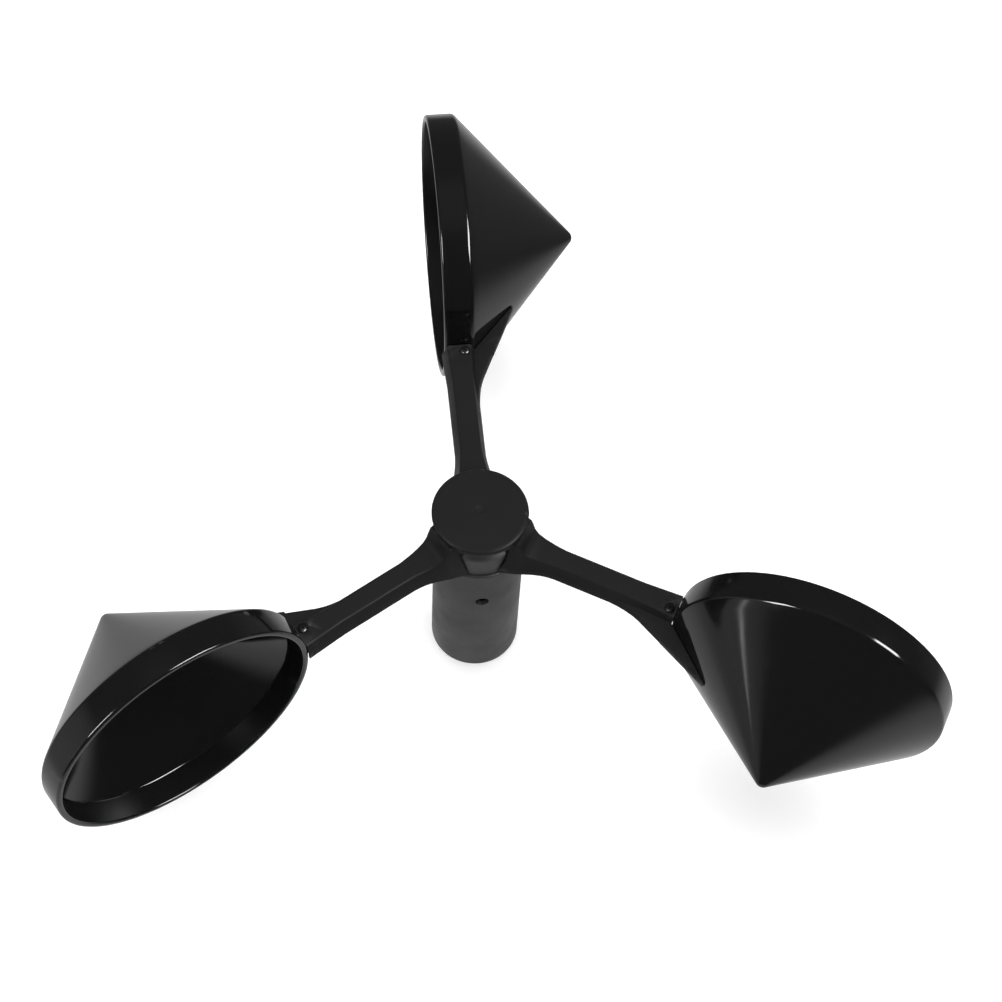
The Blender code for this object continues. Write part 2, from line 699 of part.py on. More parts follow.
def make_barrel():
    """The fixed body: a neck inside the rotor, a bearing bore and a cavity for the switch."""
    edge = BARREL_EDGE
    lip_top = LOWER_BEARING_Z - 0.05 * MM
    bore = BEARING_RADIUS + SLIDE_GAP
    profile = [
        (NECK_RADIUS - edge, BARREL_TOP),
        (NECK_RADIUS, BARREL_TOP - edge),
        (NECK_RADIUS, LEDGE_Z),
        (BARREL_RADIUS - edge, LEDGE_Z),
        (BARREL_RADIUS, LEDGE_Z - edge),
        (BARREL_RADIUS, edge),
        (BARREL_RADIUS - edge, 0),
        (CAVITY_RADIUS, 0),
        (CAVITY_RADIUS, SNAP_LOW - 0.3 * MM),
        (CAVITY_RADIUS + 0.2 * MM, SNAP_LOW),
        (CAVITY_RADIUS + 0.2 * MM, SNAP_HIGH),
        (CAVITY_RADIUS, SNAP_HIGH + 0.3 * MM),
        (CAVITY_RADIUS, CAVITY_TOP),
        (4.4 * MM, CAVITY_TOP),
        (4.4 * MM, lip_top),
        (bore, lip_top),
        (bore, MOUTH_FLOOR),
        (MOUTH_RADIUS, MOUTH_FLOOR),
        (MOUTH_RADIUS, BARREL_TOP),
    ]
    barrel = turned("barrel", profile, BODY_STEPS, BARREL_GREY, ring=True)
    hole = rod("grub_hole", GRUB_HOLE_RADIUS, bore - 0.4 * MM, BARREL_RADIUS + MM, 16)
    moved(hole, (0, 0, GRUB_Z), axis=(0, -1, 0))
    return shade(boolean(barrel, "DIFFERENCE", hole))


def make_grub_screw():
    """The socket screw in the barrel's side that holds the bearing cartridge."""
    tip = BEARING_RADIUS + SLIDE_GAP
    end = BARREL_RADIUS - 0.6 * MM
    radius = GRUB_HOLE_RADIUS - SLIDE_GAP
    profile = [
        (0, end),
        (radius - 0.1 * MM, end),
        (radius, end - 0.1 * MM),
        (radius, tip + 0.3 * MM),
        (radius - 0.4 * MM, tip),
        (0, tip),
    ]
    screw = turned("grub_screw", profile, 16, BLACK_STEEL)
    socket = rod("socket", 0.72 * MM, end - 1.2 * MM, end + MM, 6)
    screw = boolean(screw, "DIFFERENCE", socket)
    return shade(moved(screw, (0, 0, GRUB_Z), axis=(0, -1, 0)))


# --- Base plug, seal and circuit board ------------------------------------------------------


def make_base_plug():
    """The plug that closes the barrel, with a seal groove, board posts and a pin socket."""
    groove_low, groove_high = SEAL_GROOVE
    profile = [
        (0, PLUG_TOP),
        (PLUG_RADIUS - 0.3 * MM, PLUG_TOP),
        (PLUG_RADIUS, PLUG_TOP - 0.3 * MM),
        (PLUG_RADIUS + 0.2 * MM, SNAP_HIGH - SLIDE_GAP),
        (PLUG_RADIUS + 0.2 * MM, SNAP_LOW + SLIDE_GAP),
        (PLUG_RADIUS, SNAP_LOW - SLIDE_GAP),
        (PLUG_RADIUS, groove_high),
        (SEAL_GROOVE_RADIUS, groove_high),
        (SEAL_GROOVE_RADIUS, groove_low),
        (PLUG_RADIUS, groove_low),
        (PLUG_RADIUS, 0.2 * MM),
        (PLUG_RADIUS - 0.2 * MM, 0),
        (0, 0),
    ]
    plug = turned("base_plug", profile, BODY_STEPS, PLUG_GREY)
    posts = []
    holes = [box("socket", SOCKET_LOW, SOCKET_HIGH)]
    for side in (-1, 1):
        post = rod("post", POST_RADIUS, PLUG_TOP - MM, BOARD_Z - SLIDE_GAP, TINY_STEPS)
        posts.append(moved(post, (side * POST_REACH, 0, 0)))
        pilot = rod("pilot", 0.55 * MM, PLUG_TOP + 0.6 * MM, BOARD_Z + MM, TINY_STEPS)
        holes.append(moved(pilot, (side * POST_REACH, 0, 0)))
        pin_hole = rod("pin_hole", 0.42 * MM, 2.0 * MM, PLUG_TOP + MM, TINY_STEPS)
        holes.append(moved(pin_hole, (side * PIN_SIDE, PIN_Y, 0)))
    plug = boolean(plug, "UNION", *posts)
    return shade(boolean(plug, "DIFFERENCE", *holes))


def make_base_seal():
    """The O-ring in the plug's groove."""
    profile = arc((SEAL_RADIUS, SEAL_Z), 0.38 * MM, 90, -210, 6)
    return turned("base_seal", profile, BODY_STEPS, RUBBER, ring=True)


def make_circuit_board():
    top = BOARD_Z + BOARD_THICKNESS
    board = rod("circuit_board", BOARD_RADIUS, BOARD_Z, top, SMALL_STEPS + 8, BOARD_GREEN)
    holes = []
    for side in (-1, 1):
        for radius, x, y in (
            (0.65 * MM, POST_REACH, 0),
            (0.42 * MM, PIN_SIDE, PIN_Y),
            (0.35 * MM, LEAD_REACH, REED_Y),
        ):
            hole = rod("board_hole", radius, BOARD_Z - MM, top + MM, TINY_STEPS)
            holes.append(moved(hole, (side * x, y, 0)))
    return shade(boolean(board, "DIFFERENCE", *holes))


def make_board_parts():
    """Screws, contact pins and the reed switch with its two leads."""
    top = BOARD_Z + BOARD_THICKNESS
    sides = (("left", -1), ("right", 1))
    for name, side in sides:
        screw = pan_screw(f"board_screw_{name}", top + 0.05 * MM, BOARD_SCREW)
        moved(screw, (side * POST_REACH, 0, 0))
        low, high = 0.6 * MM, top + 0.6 * MM
        pin = rod(f"contact_pin_{name}", PIN_RADIUS, low, high, TINY_STEPS, BRASS)
        moved(pin, (side * PIN_SIDE, PIN_Y, 0))
        start = REED_HALF_LENGTH + SLIDE_GAP
        route = [
            (side * start, REED_Y, REED_Z),
            (side * (LEAD_REACH - 0.25 * MM), REED_Y, REED_Z),
            (side * (LEAD_REACH - 0.07 * MM), REED_Y, REED_Z - 0.07 * MM),
            (side * LEAD_REACH, REED_Y, REED_Z - 0.25 * MM),
            (side * LEAD_REACH, REED_Y, BOARD_Z - 0.4 * MM),
        ]
        wire(f"reed_lead_{name}", route, LEAD_RADIUS, NICKEL)
    end = REED_HALF_LENGTH
    profile = [
        (0, end),
        (0.45 * MM, end - 0.05 * MM),
        (0.8 * MM, end - 0.35 * MM),
        (REED_RADIUS, end - 0.9 * MM),
    ]
    profile += [(radius, -z) for radius, z in reversed(profile)]
    reed = turned("reed_glass", profile, 16, GLASS)
    moved(reed, (0, REED_Y, REED_Z), axis=(1, 0, 0))


# --- Assembly -------------------------------------------------------------------------------


def group(name, height, members):
    """An empty on the rotor's axis, with the pieces that move as one for its children."""
    pivot = bpy.data.objects.new(name, None)
    pivot.location.z = height
    PARTS.objects.link(pivot)
    for member in members:
        member.parent = pivot
        member.matrix_parent_inverse = Matrix.Translation((0, 0, -height))


def named(*starts):
    """The parts whose names begin with any of these."""
    return [part for part in PARTS.objects if part.name.startswith(starts)]


first_cup = make_cup()
for arm_number in range(1, ARM_COUNT):
    copy_round(first_cup, arm_number, f"cup_{arm_number + 1}")
make_spider()
make_cap()
make_shaft()
make_shaft_clip()
make_hub_fastening()
make_cup_screws()
make_bearing("upper", UPPER_BEARING_Z)
make_bearing("lower", LOWER_BEARING_Z)
make_spacers()
make_magnet_carrier()
make_barrel()
make_grub_screw()
make_base_plug()
make_base_seal()
make_circuit_board()
make_board_parts()

BALL_SETS = (("upper", UPPER_BEARING_Z), ("lower", LOWER_BEARING_Z))
for place, bearing_z in BALL_SETS:
    group(f"{place}_balls", bearing_z + BEARING_WIDTH / 2, named(f"{place}_ball_cage"))
rotor_starts = ("rotor_", "hub_", "cup_", "shaft", "inner_spacer", "magnet_")
rotor = named(*rotor_starts, "upper_bearing_inner", "lower_bearing_inner")
group("rotor", CUP_Z, rotor)
group("sensor_body", 0, [part for part in PARTS.objects if part.type == "MESH" and not part.parent])
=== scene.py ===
"""The looks of the three-cup anemometer: fine meshes, materials, light and camera.

Fine pieces stand for the CAD nodes that show. They are worked out from the CAD nodes' boxes and
the sizes below. CAD nodes inside the barrel stay as they are, with better materials.
"""

import json
import math

import bmesh
import bpy
from mathutils import Matrix, Vector


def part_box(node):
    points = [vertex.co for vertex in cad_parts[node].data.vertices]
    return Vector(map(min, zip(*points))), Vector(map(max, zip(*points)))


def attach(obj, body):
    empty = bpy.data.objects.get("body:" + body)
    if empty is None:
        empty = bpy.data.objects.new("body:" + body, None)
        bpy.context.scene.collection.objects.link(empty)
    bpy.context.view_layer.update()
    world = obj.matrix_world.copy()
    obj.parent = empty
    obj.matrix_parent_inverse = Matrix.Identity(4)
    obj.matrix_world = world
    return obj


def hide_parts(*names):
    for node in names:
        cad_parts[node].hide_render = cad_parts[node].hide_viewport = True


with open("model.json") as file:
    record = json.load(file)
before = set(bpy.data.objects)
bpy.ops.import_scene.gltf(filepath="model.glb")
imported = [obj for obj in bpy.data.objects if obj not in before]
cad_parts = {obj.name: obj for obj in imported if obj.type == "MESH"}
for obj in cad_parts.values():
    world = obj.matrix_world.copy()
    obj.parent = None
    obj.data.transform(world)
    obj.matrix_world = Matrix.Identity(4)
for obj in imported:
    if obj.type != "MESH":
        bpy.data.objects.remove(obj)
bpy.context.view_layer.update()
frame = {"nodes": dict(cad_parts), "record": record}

MM = 0.001
ARM_COUNT = 3
ROTOR = "rotor"
SENSOR = "sensor_body"


# --- Sizes read from the CAD nodes ------------------------------------------------------------


def span(node, axis):
    low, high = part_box(node)
    return low[axis], high[axis]


CUP_LOW, CUP_HIGH = span("cup_1", 2)
INSIDE = 0.01 * MM  # keeps the cups within the CAD box at every arm
CUP_RADIUS = (CUP_HIGH - CUP_LOW) / 2 - INSIDE
CUP_Z = (CUP_HIGH + CUP_LOW) / 2
CUP_REACH = span("cup_1", 1)[1] - (CUP_HIGH - CUP_LOW) / 2
BAND_FRONT = -span("cup_1", 0)[0]
BAND_BACK = -BAND_FRONT
TIP = INSIDE - span("cup_1", 0)[1]  # of the cone, rounded
LEG_BOTTOM, HUB_TOP = span("rotor_spider", 2)
CAP_RADIUS = span("hub_cap", 0)[1]
CAP_TOP = span("hub_cap", 2)[1]
BARREL_RADIUS = span("barrel", 0)[1]
BARREL_TOP = span("barrel", 2)[1]
GRUB_Z = sum(span("grub_screw", 2)) / 2
PIN_SIDE = sum(span("contact_pin_right", 0)) / 2
PIN_Y = sum(span("contact_pin_right", 1)) / 2
POST_TOP = span("base_plug", 2)[1]
POST_REACH = sum(span("board_screw_right", 0)) / 2
SEAL_Z = sum(span("base_seal", 2)) / 2

# --- Sizes that the boxes don't give, as in the CAD -------------------------------------------

CUP_WALL = 1.2 * MM
CONE_ANGLE = math.atan2(25.0, 22.1)
APEX_ROUND = 1.5 * MM
APEX = TIP - APEX_ROUND * (1 / math.sin(CONE_ANGLE) - 1)  # where the cone would come to a point
ARM_BOTTOM = 37.1 * MM
ARM_TOP = 40.45 * MM
ARM_HALF_BOTTOM = 2.9 * MM
ARM_HALF_TOP = 1.85 * MM
ROOT_REACH = 6.3 * MM
ROOT_FLARE_BOTTOM = 2.3 * MM
ROOT_FLARE_TOP = 1.5 * MM
FLARE_START = 16.0 * MM
TIP_FLARE = 0.4 * MM
TIP_FLARE_START = 31.0 * MM
ARM_TIP = 38.4 * MM
LEG_REACH = 8.6 * MM
GUSSET_TOP = ARM_BOTTOM + 1.4 * MM
GUSSET_CURVE = (25.5 * MM, 32.5 * MM)  # where its edge leaves the arm and becomes straight
GUSSET_INNER = (29.4 * MM, 2.7 * MM)  # two points on its straight edge, as reach and side
GUSSET_OUTER = (48.8 * MM, 11.9 * MM)
GUSSET_END = 52.0 * MM
WEB_START = ARM_TIP - 1.0 * MM
CUP_GAP = 0.15 * MM
FORK_START = 34.6 * MM
TAB_SIDES = (-0.5 * MM, 2.1 * MM)
TAB_LOW, TAB_HIGH = 38.1 * MM, 39.3 * MM
FORK_GAP = 0.2 * MM
CUP_SCREW_PLACE = (1.0 * MM, 37.0 * MM)
CUP_SCREW_SEAT = 40.2 * MM
CUP_SCREW_HEAD = 0.8 * MM
NECK_RADIUS = 7.7 * MM
LEDGE_Z = 35.8 * MM
NECK_BORE = 8.05 * MM
PLATE_BOTTOM = 42.4 * MM
HUB_RADIUS = 7.2 * MM
HUB_WELL = 3.4 * MM
HUB_WELL_FLOOR = 42.15 * MM
BOSS_RADIUS = 4.4 * MM
BOSS_BOTTOM = 38.4 * MM
SHAFT_BORE = 1.6 * MM
CAP_BOTTOM = 44.55 * MM
BEARING_BORE = 5.1 * MM
BARREL_MOUTH = 6.5 * MM
BARREL_MOUTH_FLOOR = 38.0 * MM
BEARING_LEDGE = (19.4 * MM, 20.25 * MM)  # its lower and upper face
BARREL_BOTTOM = 0.004 * MM  # just inside the CAD box
SIDE_HOLE_RADIUS = 1.25 * MM
GRUB_RADIUS = 1.12 * MM
CAVITY_RADIUS = 6.95 * MM
PLUG_RADIUS = 6.85 * MM
PLUG_TOP = 4.2 * MM
SEAL_GROOVE = 6.1 * MM
SEAL_HALF = 0.6 * MM
POST_RADIUS = 1.2 * MM
SOCKET_HALF = (2.7 * MM, 1.0 * MM)
SNAP_LOW, SNAP_HIGH = 3.3 * MM, 3.8 * MM
SNAP_RISE = 0.2 * MM

ROUND_STEPS = 160
SMALL_STEPS = 48
CONE_RINGS = 14
STEP = 0.02 * MM  # between faces that would otherwise lie in one plane
ON_AXIS = 1e-7
TINY_EDGE = 1e-6
FACING_AXIS = -0.98  # cosine of the angle between a face and the direction out from the axis


# --- Mesh tools --------------------------------------------------------------------------------


def add_object(name, mesh, material=None):
    made = bpy.data.objects.new(name, mesh)
    bpy.context.scene.collection.objects.link(made)
    if material:
        made.data.materials.append(material)
    return made


def rounded(corners, segments=6):
    """A polyline whose corners (x, y, radius) are replaced by arcs."""
    points = []
    count = len(corners)
    for i, (x, y, radius) in enumerate(corners):
        here = Vector((x, y))
        if radius <= 0 or i in (0, count - 1) and corners[0][:2] == corners[-1][:2]:
            points.append((x, y))
            continue
        before = Vector(corners[i - 1][:2]) - here
        after = Vector(corners[(i + 1) % count][:2]) - here
        half = before.angle(after) / 2
        setback = radius / math.tan(half)
        first = here + before.normalized() * setback
        middle = here + (before.normalized() + after.normalized()).normalized() * (
            radius / math.sin(half)
        )
        start = first - middle
        last = here + after.normalized() * setback - middle
        turn = start.angle_signed(last)
        for step in range(segments + 1):
            arm = start.copy()
            arm.rotate(Matrix.Rotation(-turn * step / segments, 2))
            points.append(tuple(middle + arm))
    return points


def turned(name, profile, material=None, steps=ROUND_STEPS, ring=False):
    """A profile of (radius, height) turned about Z."""
    body = bmesh.new()
    rows = []
    for radius, height in profile:
        if radius < ON_AXIS:
            rows.append([body.verts.new((0, 0, height))])
            continue
        angles = [math.tau * i / steps for i in range(steps)]
        rows.append(
            [body.verts.new((radius * math.cos(a), radius * math.sin(a), height)) for a in angles]
        )
    pairs = list(zip(rows, rows[1:]))
    if ring:
        pairs.append((rows[-1], rows[0]))
    for upper, lower in pairs:
        for i in range(steps):
            j = (i + 1) % steps
            if len(upper) == 1 and len(lower) == 1:
                continue
            if len(upper) == 1:
                body.faces.new((upper[0], lower[i], lower[j]))
            elif len(lower) == 1:
                body.faces.new((upper[i], lower[0], upper[j]))
            else:
                body.faces.new((upper[i], lower[i], lower[j], upper[j]))
    bmesh.ops.recalc_face_normals(body, faces=body.faces)
    mesh = bpy.data.meshes.new(name)
    body.to_mesh(mesh)
    body.free()
    return add_object(name, mesh, material)


def loft(name, sections):
    """A solid through sections with the same number of points each."""
    body = bmesh.new()
    loops = [[body.verts.new(point) for point in section] for section in sections]
    for first, second in zip(loops, loops[1:]):
        for i in range(len(first)):
            j = (i + 1) % len(first)
            body.faces.new((first[i], first[j], second[j], second[i]))
    body.faces.new(loops[0])
    body.faces.new(loops[-1])
    bmesh.ops.recalc_face_normals(body, faces=body.faces)
    mesh = bpy.data.meshes.new(name)
    body.to_mesh(mesh)
    body.free()
    return add_object(name, mesh)


def box(name, low, high, bevel=0.0):
    mesh = bpy.data.meshes.new(name)
    body = bmesh.new()
    bmesh.ops.create_cube(body, size=1.0)
    bmesh.ops.scale(body, vec=Vector(high) - Vector(low), verts=body.verts)
    bmesh.ops.translate(body, vec=(Vector(high) + Vector(low)) / 2, verts=body.verts)
    if bevel:
        bmesh.ops.bevel(
            body, geom=body.edges, offset=bevel, segments=3, profile=0.5, affect="EDGES"
        )
    body.to_mesh(mesh)
    body.free()
    return add_object(name, mesh)


def rod(name, radius, low, high, steps=SMALL_STEPS):
    return turned(name, [(0, high), (radius, high), (radius, low), (0, low)], steps=steps)


def moved(piece, place, axis=None):
    """Turns a piece's Z axis to that axis, then shifts it."""
    turn = Matrix.Identity(3)
    if axis:
        turn = Vector((0, 0, 1)).rotation_difference(Vector(axis)).to_matrix()
    piece.data.transform(Matrix.Translation(place) @ turn.to_4x4())
    return piece


def boolean(piece, operation, *others):
    """Joins or cuts a piece with others, which are used up."""
    for number, other in enumerate(others):
        modifier = piece.modifiers.new(f"{operation.lower()}_{number}", "BOOLEAN")
        modifier.operation = operation
        modifier.object = other
        modifier.solver = "EXACT"
    bpy.context.view_layer.update()
    graph = bpy.context.evaluated_depsgraph_get()
    mesh = bpy.data.meshes.new_from_object(piece.evaluated_get(graph))
    body = bmesh.new()
    body.from_mesh(mesh)
    bmesh.ops.dissolve_degenerate(body, dist=TINY_EDGE, edges=body.edges)
    body.to_mesh(mesh)
    body.free()
    piece.modifiers.clear()
    piece.data = mesh
    for other in others:
        bpy.data.objects.remove(other)
    return piece


def smooth(piece, degrees=32):
    piece.data.shade_smooth()
    piece.data.set_sharp_from_angle(angle=math.radians(degrees))
    return piece


def stand_for(piece, body, slot, *nodes):
    """Lets a piece ride on a body and stand for CAD nodes."""
    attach(piece, body)
    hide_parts(*nodes)


def round_copies(piece, make_name):
    """Copies of a piece made for arm 1, turned to each arm, in place of the piece."""
    copies = []
    for number in range(ARM_COUNT):
        mesh = piece.data.copy()
        mesh.transform(Matrix.Rotation(number * math.tau / ARM_COUNT, 4, "Z"))
        copies.append(add_object(make_name(number + 1), mesh))
    bpy.data.objects.remove(piece)
    return copies


# --- Materials ---------------------------------------------------------------------------------


PLASTIC_IOR = 1.5


class Shader:
    """A Principled material with a few helpers to add procedural detail."""

    def __init__(self, name, colour, roughness, metallic=0.0):
        self.material = bpy.data.materials.new(name)
        self.material.use_nodes = True
        self.nodes = self.material.node_tree.nodes
        self.links = self.material.node_tree.links
        self.shader = self.nodes["Principled BSDF"]
        self.colour = (*colour, 1.0)
        self.roughness = roughness
        self.shader.inputs["Base Color"].default_value = self.colour
        self.shader.inputs["Roughness"].default_value = roughness
        self.shader.inputs["Metallic"].default_value = metallic
        self.shader.inputs["IOR"].default_value = PLASTIC_IOR
        coordinates = self.nodes.new("ShaderNodeTexCoord")
        self.place = coordinates.outputs["Object"]
        self.height = None

    def noise(self, scale, detail=4.0, stretch=None):
        """Noise fixed to the object, with scale in features a metre."""
        source = self.place
        if stretch:
            mapping = self.nodes.new("ShaderNodeMapping")
            mapping.inputs["Scale"].default_value = stretch
            self.links.new(source, mapping.inputs["Vector"])
            source = mapping.outputs["Vector"]
        node = self.nodes.new("ShaderNodeTexNoise")
        node.inputs["Scale"].default_value = scale
        node.inputs["Detail"].default_value = detail
        node.inputs["Roughness"].default_value = 0.55
        self.links.new(source, node.inputs["Vector"])
        return node.outputs["Fac"]

    def remap(self, value, low, high, to_low, to_high):
        node = self.nodes.new("ShaderNodeMapRange")
        for socket, number in zip(
            ("From Min", "From Max", "To Min", "To Max"), (low, high, to_low, to_high)
        ):
            node.inputs[socket].default_value = number
        self.links.new(value, node.inputs["Value"])
        return node.outputs["Result"]

    def wear(self):
        """From 0 to 1 along convex edges, broken up by noise."""
        geometry = self.nodes.new("ShaderNodeNewGeometry")
        edge = self.remap(geometry.outputs["Pointiness"], 0.52, 0.62, 0.0, 1.0)
        patches = self.remap(self.noise(900, 3.0), 0.42, 0.62, 0.0, 1.0)
        product = self.nodes.new("ShaderNodeMath")
        product.operation = "MULTIPLY"
        self.links.new(edge, product.inputs[0])
        self.links.new(patches, product.inputs[1])
        return product.outputs["Value"]

    def vary_roughness(self, value, low, high):
        self.links.new(
            self.remap(value, 0.3, 0.7, self.roughness + low, self.roughness + high),
            self.shader.inputs["Roughness"],
        )

    def vary_colour(self, value, light, low=0.3, high=0.7):
        """Mixes towards another colour as the value rises from low to high."""
        mix = self.nodes.new("ShaderNodeMix")
        mix.data_type = "RGBA"
        mix.inputs[6].default_value = self.colour
        mix.inputs[7].default_value = (*light, 1.0)
        self.links.new(self.remap(value, low, high, 0.0, 1.0), mix.inputs[0])
        self.links.new(mix.outputs[2], self.shader.inputs["Base Color"])

    def bump(self, value, depth):
        """Relief of that depth in metres, on top of any already added."""
        node = self.nodes.new("ShaderNodeBump")
        node.inputs["Distance"].default_value = depth
        node.inputs["Strength"].default_value = 1.0
        self.links.new(value, node.inputs["Height"])
        if self.height:
            self.links.new(self.height, node.inputs["Normal"])
        self.height = node.outputs["Normal"]
        self.links.new(self.height, self.shader.inputs["Normal"])


def gloss_black(name, roughness):
    """Mould finish with slight waviness and faint handling marks."""
    s = Shader(name, (0.0045, 0.0045, 0.0047), roughness)
    s.vary_roughness(s.noise(60, 5.0), -0.03, 0.04)
    s.vary_colour(s.wear(), (0.03, 0.03, 0.03), 0.0, 1.0)
    s.bump(s.noise(220, 2.0), 0.008 * MM)
    s.bump(s.noise(1300, 2.0), 0.0006 * MM)
    return s.material


def satin_black():
    """Fine spark-eroded mould texture."""
    s = Shader("arm_satin_black", (0.0122, 0.0122, 0.0127), 0.42)
    s.shader.inputs["Specular IOR Level"].default_value = 0.08
    s.vary_roughness(s.noise(150, 4.0), -0.08, 0.08)
    s.vary_colour(s.wear(), (0.045, 0.045, 0.045), 0.0, 1.0)
    s.bump(s.noise(5200, 3.0), 0.006 * MM)
    s.bump(s.noise(500, 2.0), 0.01 * MM)
    return s.material


def barrel_grey():
    """Satin moulded sleeve with faint lines along its length."""
    s = Shader("barrel_satin_grey", (0.022, 0.022, 0.023), 0.4)
    s.shader.inputs["Specular IOR Level"].default_value = 0.42
    s.vary_roughness(s.noise(120, 4.0), -0.07, 0.09)
    s.vary_colour(s.noise(45, 5.0), (0.029, 0.029, 0.03))
    s.bump(s.noise(1500, 3.0, stretch=(1.0, 1.0, 0.06)), 0.004 * MM)
    s.bump(s.noise(6000, 2.0), 0.004 * MM)
    return s.material


def plug_grey():
    s = Shader("plug_matte_grey", (0.04, 0.04, 0.041), 0.5)
    s.vary_roughness(s.noise(200, 4.0), -0.08, 0.08)
    s.bump(s.noise(5000, 3.0), 0.006 * MM)
    return s.material


def metal(name, colour, roughness, grain=(1.0, 1.0, 1.0), scale=4000):
    """Machined or drawn metal with a grain."""
    s = Shader(name, colour, roughness, metallic=1.0)
    s.vary_roughness(s.noise(scale / 8, 4.0, stretch=grain), -0.06, 0.1)
    s.vary_colour(s.noise(400, 4.0), tuple(0.82 * c for c in colour))
    s.bump(s.noise(scale, 3.0, stretch=grain), 0.002 * MM)
    return s.material


def black_oxide():
    """Blackened steel with worn edges."""
    s = Shader("black_oxide_steel", (0.016, 0.0155, 0.015), 0.34, metallic=1.0)
    s.vary_roughness(s.noise(2500, 4.0), -0.05, 0.12)
    s.vary_colour(s.wear(), (0.07, 0.07, 0.07), 0.0, 1.0)
    s.bump(s.noise(5000, 2.0), 0.002 * MM)
    return s.material


def white_plastic():
    s = Shader("carrier_natural_white", (0.72, 0.7, 0.64), 0.42)
    s.vary_roughness(s.noise(300, 4.0), -0.06, 0.08)
    s.vary_colour(s.noise(200, 4.0), (0.66, 0.64, 0.57))
    s.bump(s.noise(4000, 3.0), 0.004 * MM)
    return s.material


def solder_mask():
    """Green mask over faint copper tracks."""
    s = Shader("board_solder_mask", (0.012, 0.13, 0.045), 0.28)
    s.vary_colour(s.noise(700, 1.0, stretch=(1.0, 0.25, 1.0)), (0.03, 0.22, 0.08), 0.48, 0.52)
    s.bump(s.noise(900, 2.0), 0.01 * MM)
    return s.material


def reed_glass():
    s = Shader("reed_green_glass", (0.75, 0.92, 0.84), 0.03)
    s.shader.inputs["Transmission Weight"].default_value = 0.85
    s.vary_roughness(s.noise(500, 3.0), 0.0, 0.04)
    return s.material


def rubber():
    s = Shader("seal_rubber", (0.014, 0.014, 0.014), 0.62)
    s.vary_roughness(s.noise(900, 4.0), -0.08, 0.08)
    s.bump(s.noise(3500, 3.0), 0.006 * MM)
    return s.material


CUP_BLACK = gloss_black("cup_gloss_black", 0.09)
CUP_MOUTH = gloss_black("cup_mouth_black", 0.3)
ARM_BLACK = satin_black()
BARREL = barrel_grey()
PLUG = plug_grey()
BLACK_STEEL = black_oxide()
STEEL = metal("plain_stainless_steel", (0.56, 0.56, 0.55), 0.28, grain=(1.0, 1.0, 0.1))
SCREW_STEEL = metal("dull_stainless_steel", (0.11, 0.11, 0.11), 0.36)
BEARING = metal("ground_bearing_steel", (0.62, 0.62, 0.61), 0.14, grain=(0.1, 0.1, 1.0))
BRASS = metal("turned_brass", (0.72, 0.5, 0.2), 0.26, grain=(0.2, 0.2, 1.0))
NICKEL = metal("nickel_plating", (0.66, 0.63, 0.58), 0.18, scale=6000)

CAD_LOOKS = {
    "stainless_steel": STEEL,
    "black_steel": BLACK_STEEL,
    "bearing_steel": BEARING,
    "brass": BRASS,
    "nickel": NICKEL,
    "carrier_white": white_plastic(),
    "board_green": solder_mask(),
    "reed_glass": reed_glass(),
    "rubber": rubber(),
    "gloss_black": CUP_BLACK,
    "satin_black": ARM_BLACK,
    "barrel_grey": BARREL,
    "plug_grey": PLUG,
}


def dress_cad_nodes():
    """Gives every CAD node the material of its slot in the record."""
    for entry in frame["record"]["subparts"]:
        node = frame["nodes"][entry["node"]]
        node.data.materials.clear()
        node.data.materials.append(CAD_LOOKS[entry["material_slot"]])


# --- Cups --------------------------------------------------------------------------------------


def cup_profile(grow=0.0):
    """Where the band outside a cup meets its cone, and the points of the rounded tip."""
    ball = APEX_ROUND + grow
    centre = APEX + APEX_ROUND / math.sin(CONE_ANGLE)
    shoulder = BAND_BACK - grow * (1 - math.sin(CONE_ANGLE)) / math.cos(CONE_ANGLE)
    steps = 10
    tip = []
    for i in range(steps + 1):
        angle = -CONE_ANGLE + (CONE_ANGLE - math.pi / 2) * i / steps
        tip.append((ball * math.cos(angle), centre + ball * math.sin(angle)))
    tip[-1] = (0, centre - ball)
    return shoulder, tip


def place_at_cup(piece):
    return moved(piece, (0, CUP_REACH, CUP_Z), axis=(-1, 0, 0))


def line_cup(cup):
    """Gives the straight wall inside a cup's mouth its own, softer finish."""
    cup.data.materials.append(CUP_MOUTH)
    for face in cup.data.polygons:
        arm = face.center - Vector((0, CUP_REACH, CUP_Z))
        if face.normal.dot(Vector((0, arm.y, arm.z)).normalized()) < FACING_AXIS:
            face.material_index = 1


def steps_between(start, end):
    """Points on a straight line, without its ends, so that long faces shade evenly."""
    shares = [i / (CONE_RINGS + 1) for i in range(1, CONE_RINGS + 1)]
    return [
        (start[0] + (end[0] - start[0]) * share, start[1] + (end[1] - start[1]) * share, 0)
        for share in shares
    ]


